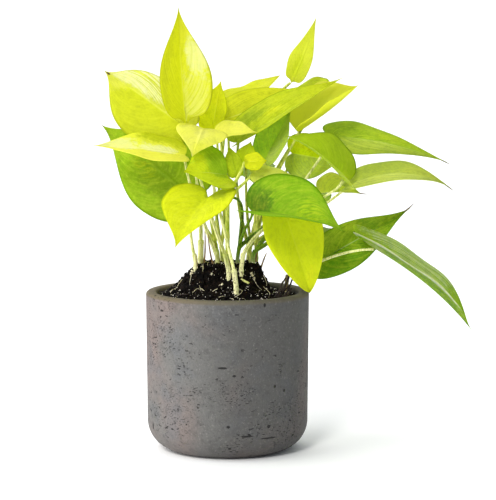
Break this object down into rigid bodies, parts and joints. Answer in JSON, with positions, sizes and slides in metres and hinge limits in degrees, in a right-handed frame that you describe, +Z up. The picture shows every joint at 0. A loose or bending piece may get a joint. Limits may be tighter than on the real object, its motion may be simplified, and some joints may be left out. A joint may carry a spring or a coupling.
{
  "type": "potted neon pothos plant",
  "caption": "Young pothos with heart-shaped lime-green leaves on slender stalks, standing in dark potting mix in a plain round concrete pot.",
  "frame": {"origin": "middle of the pot's flat base, on the surface that the pot stands on", "axes": "+Z up, -Y to the front that the picture shows, +X to the viewer's right"},
  "size_m": [0.2893, 0.1738, 0.3386],
  "materials": {
    "concrete": "smooth cast concrete, matt",
    "potting_mix": "damp crumbly peat mix",
    "stem": "smooth fleshy stalk",
    "leaf_lime": "waxy leaf, satin",
    "leaf_pale": "waxy leaf, satin",
    "leaf_green": "waxy leaf, satin"
  },
  "bodies": {
    "root": {"pot": "concrete", "soil": "potting_mix", "stem_left": "stem", "stem_left_thick": "stem", "stem_wing": "stem", "stem_upright": "stem", "stem_back": "stem", "stem_front": "stem", "stem_centre": "stem", "stem_pale": "stem", "stem_dark": "stem", "stem_tall": "stem", "stem_low_right": "stem", "stem_lime": "stem", "stem_edge": "stem", "stem_far_left": "stem", "stem_far_right": "stem", "leaf_upright": "leaf_lime", "leaf_fan": "leaf_lime", "leaf_pale_wing": "leaf_pale", "leaf_broad_left": "leaf_green", "leaf_heart": "leaf_lime", "leaf_round_left": "leaf_lime", "leaf_cream": "leaf_pale", "leaf_butter": "leaf_pale", "leaf_blade_up": "leaf_lime", "leaf_top_band": "leaf_lime", "leaf_veil": "leaf_lime", "leaf_sprout_top": "leaf_lime", "leaf_long_lime": "leaf_lime", "leaf_behind_lime": "leaf_green", "leaf_folded_top": "leaf_lime", "leaf_saddle": "leaf_green", "leaf_shade_fold": "leaf_green", "leaf_butter_small": "leaf_pale", "leaf_olive_low": "leaf_lime", "leaf_centre_right": "leaf_lime", "leaf_centre_left": "leaf_lime", "leaf_reach_upper": "leaf_green", "leaf_reach_lower": "leaf_green", "leaf_olive_tip": "leaf_green", "leaf_olive_round": "leaf_green", "leaf_big_front": "leaf_green", "leaf_hanging": "leaf_lime", "leaf_dark_low": "leaf_green", "leaf_weeping": "leaf_green", "leaf_back_left": "leaf_lime", "leaf_back_top": "leaf_lime", "leaf_back_right": "leaf_green", "leaf_back_low_right": "leaf_green", "leaf_back_low_left": "leaf_green", "leaf_back_centre": "leaf_lime"}
  },
  "joints": []
}
